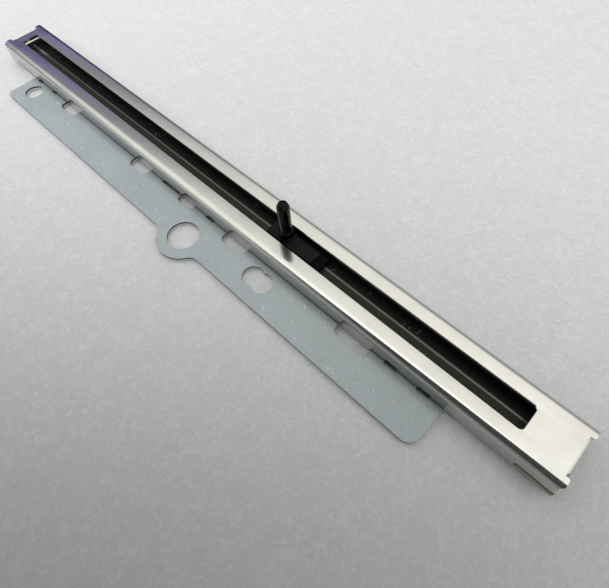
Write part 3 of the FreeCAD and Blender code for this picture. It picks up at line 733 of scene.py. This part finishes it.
# %% Close the tube, copy it and place the three rivets
bpy.ops.mesh.select_all(action="DESELECT")
bpy.ops.mesh.select_non_manifold()
bpy.ops.mesh.bridge_edge_loops()
bpy.ops.mesh.select_all(action="SELECT")
bpy.ops.mesh.normals_make_consistent(inside=False)
bpy.ops.object.mode_set(mode="OBJECT")
bpy.ops.object.shade_smooth_by_angle(angle=math.radians(50))

rivets = [rivet]
for name, (x, y) in zip(("end_rivet", "wiper_rivet"), RIVET_PLACES[1:]):
    twin = bpy.data.objects.new(name, rivet.data.copy())
    bpy.context.scene.collection.objects.link(twin)
    twin.location = (x - first_x, y - first_y, 0)
    make_active(twin)
    bpy.ops.object.transform_apply(location=True, rotation=True, scale=True)
    rivets.append(twin)
for piece in rivets:
    resize(piece, MM)
    finish_piece(piece, "housing", "terminal_rivets", tinned_brass)

# %% [markdown]
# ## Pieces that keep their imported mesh
# The printed films are flat patches and the wiper parts are hidden under the carriage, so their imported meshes
# are already right. They only change their finish, by the material slot of each object.

# %% Finishes of the films and the wiper parts
kept_nodes = {
    "resistive_track": carbon_film,
    "far_electrode": silver_film,
    "near_electrode": silver_film,
    "collector_track": silver_film,
    "collector_pad": silver_film,
    "wiper_contacts": silver_film,
    "wiper_spring": bronze,
    "wiper_pins": carriage_plastic,
    "side_spring": spring_steel,
}
for node, material in kept_nodes.items():
    nodes[node].material_slots[0].material = material
print("kept meshes:", sorted(kept_nodes))

# %% [markdown]
# ## Floor and light
# The photograph has a pale foam sheet below, and its light fades towards the camera. A bright plated sheet
# mostly shows what it reflects, so the sky is made like a wide window: bright overhead and dark towards the
# far horizon. The camera itself sees plain grey in its place. Light was missing over the near end, so a dark
# card hangs above the camera. It shades the floor there and shows as a dark band in the channel's bend. A
# weak soft lamp over the far end, kept out of the reflections, evens the rest.

# %% A plain floor
FLOOR_SIZE, FLOOR_LEVEL = 4, -0.00002
FLOOR_TONES, FIBRE_TONE = (grey(0.735, 0.04), grey(0.765, 0.04)), grey(0.97)
DULL = 0.9

bpy.ops.mesh.primitive_plane_add(size=FLOOR_SIZE, location=(0, 0, FLOOR_LEVEL))
floor = bpy.context.object
floor.name = "floor"
floor_paint, tree, shader = new_material("floor_paint")
mottle = use(tree, marks, "Mask", Scale=420.0)
ripple = put(tree, "ShaderNodeTexNoise",
             {"Vector": object_place(tree), "Scale": 620.0, "Detail": 2.0, "Distortion": 1.5}).outputs["Fac"]
ridge = away_from(tree, ripple, 0.5)
floor_tone = blend(tree, mottle, *FLOOR_TONES)
floor_tone = blend(tree, spread(tree, ridge, 0.4, 0.0, 0.0, 0.05), floor_tone, FIBRE_TONE)
tree.links.new(floor_tone, shader.inputs["Base Color"])
shader.inputs["Roughness"].default_value = DULL
floor.data.materials.append(floor_paint)
print("floor", floor.dimensions[0], "m wide")

# %% A sky like a wide window
SKY_AXIS = Vector((0.39, -0.47, 0.79)).normalized()
SKY = (
    (-0.20, (0.04, 0.035, 0.08)),
    (-0.105, (0.13, 0.11, 0.30)),
    (-0.083, (0.24, 0.225, 0.43)),
    (-0.065, (0.29, 0.295, 0.40)),
    (-0.035, (0.20, 0.20, 0.235)),
    (0.01, (0.23, 0.23, 0.25)),
    (0.14, (0.68, 0.69, 0.66)),
    (0.35, (0.94, 0.93, 0.84)),
    (0.52, (0.98, 0.965, 0.87)),
    (0.66, (1.20, 1.19, 1.13)),
    (0.80, (1.50, 1.50, 1.46)),
)
SKY_LOW, SKY_HIGH = -0.5, 1.0
CAMERA_SIDE, DIMMED = (-0.95, -0.60), 0.15
BACK_SIDE, BACK_SHARE, BACK_GREY = (0.48, 0.72), 0.9, grey(0.36)
SEEN_GREY = grey(0.70)

world = bpy.data.worlds.new("studio")
bpy.context.scene.world = world
world.use_nodes = True
tree = world.node_tree
toward = put(tree, "ShaderNodeTexCoord").outputs["Generated"]
along = put(tree, "ShaderNodeVectorMath", {0: toward, 1: SKY_AXIS}, operation="DOT_PRODUCT").outputs["Value"]
sky = put(tree, "ShaderNodeValToRGB", {"Fac": spread(tree, along, 0.0, 1.0, SKY_LOW, SKY_HIGH)})
while len(sky.color_ramp.elements) < len(SKY):
    sky.color_ramp.elements.new(1.0)
for stop, (place, colour) in zip(sky.color_ramp.elements, SKY):
    stop.position = (place - SKY_LOW) / (SKY_HIGH - SKY_LOW)
    stop.color = (*colour, 1)
sideways = put(tree, "ShaderNodeSeparateXYZ", {0: toward}).outputs["Y"]
back = spread(tree, sideways, 0.0, BACK_SHARE, *BACK_SIDE)
behind = blend(tree, back, sky.outputs["Color"], BACK_GREY)
dimmed = put(tree, "ShaderNodeVectorMath", {0: behind}, operation="SCALE")
tree.links.new(spread(tree, sideways, DIMMED, 1.0, *CAMERA_SIDE), dimmed.inputs["Scale"])
seen = put(tree, "ShaderNodeLightPath").outputs["Is Camera Ray"]
shown = blend(tree, seen, dimmed.outputs["Vector"], SEEN_GREY)
tree.links.new(shown, tree.nodes["Background"].inputs["Color"])
print("sky with", len(SKY), "steps")

# %% A dark card above the camera
CARD_PLACE = Vector((0.0516, -0.0826, 0.0550))
CARD_SIZE = (0.1253, 0.1774)
CARD_TURN = -0.898
CARD_TONES = grey(0.09), grey(0.13)

bpy.ops.mesh.primitive_plane_add(size=1, location=CARD_PLACE, rotation=(0, 0, CARD_TURN))
card = bpy.context.object
card.name = "dark_card"
card.scale = (*CARD_SIZE, 1)
card.visible_camera = False
card_paint, tree, shader = new_material("card_paint")
mottle = use(tree, marks, "Mask", Scale=60.0)
tree.links.new(blend(tree, mottle, *CARD_TONES), shader.inputs["Base Color"])
shader.inputs["Roughness"].default_value = DULL
card.data.materials.append(card_paint)
print("card", [round(1000 * side) for side in CARD_SIZE], "mm")

# %% A large soft lamp above the far side
LAMP_PLACE = Vector((-0.145, 0.028, 0.075))
LAMP_SIZE = 0.2
LAMP_POWER = 0.038

lamp_data = bpy.data.lights.new("soft_lamp", "AREA")
lamp_data.size = LAMP_SIZE
lamp_data.energy = LAMP_POWER
lamp = bpy.data.objects.new("soft_lamp", lamp_data)
bpy.context.scene.collection.objects.link(lamp)
lamp.location = LAMP_PLACE
lamp.visible_glossy = False
lamp.visible_camera = False
bpy.context.scene.view_settings.view_transform = "Standard"
print("lamp of", LAMP_POWER, "W")
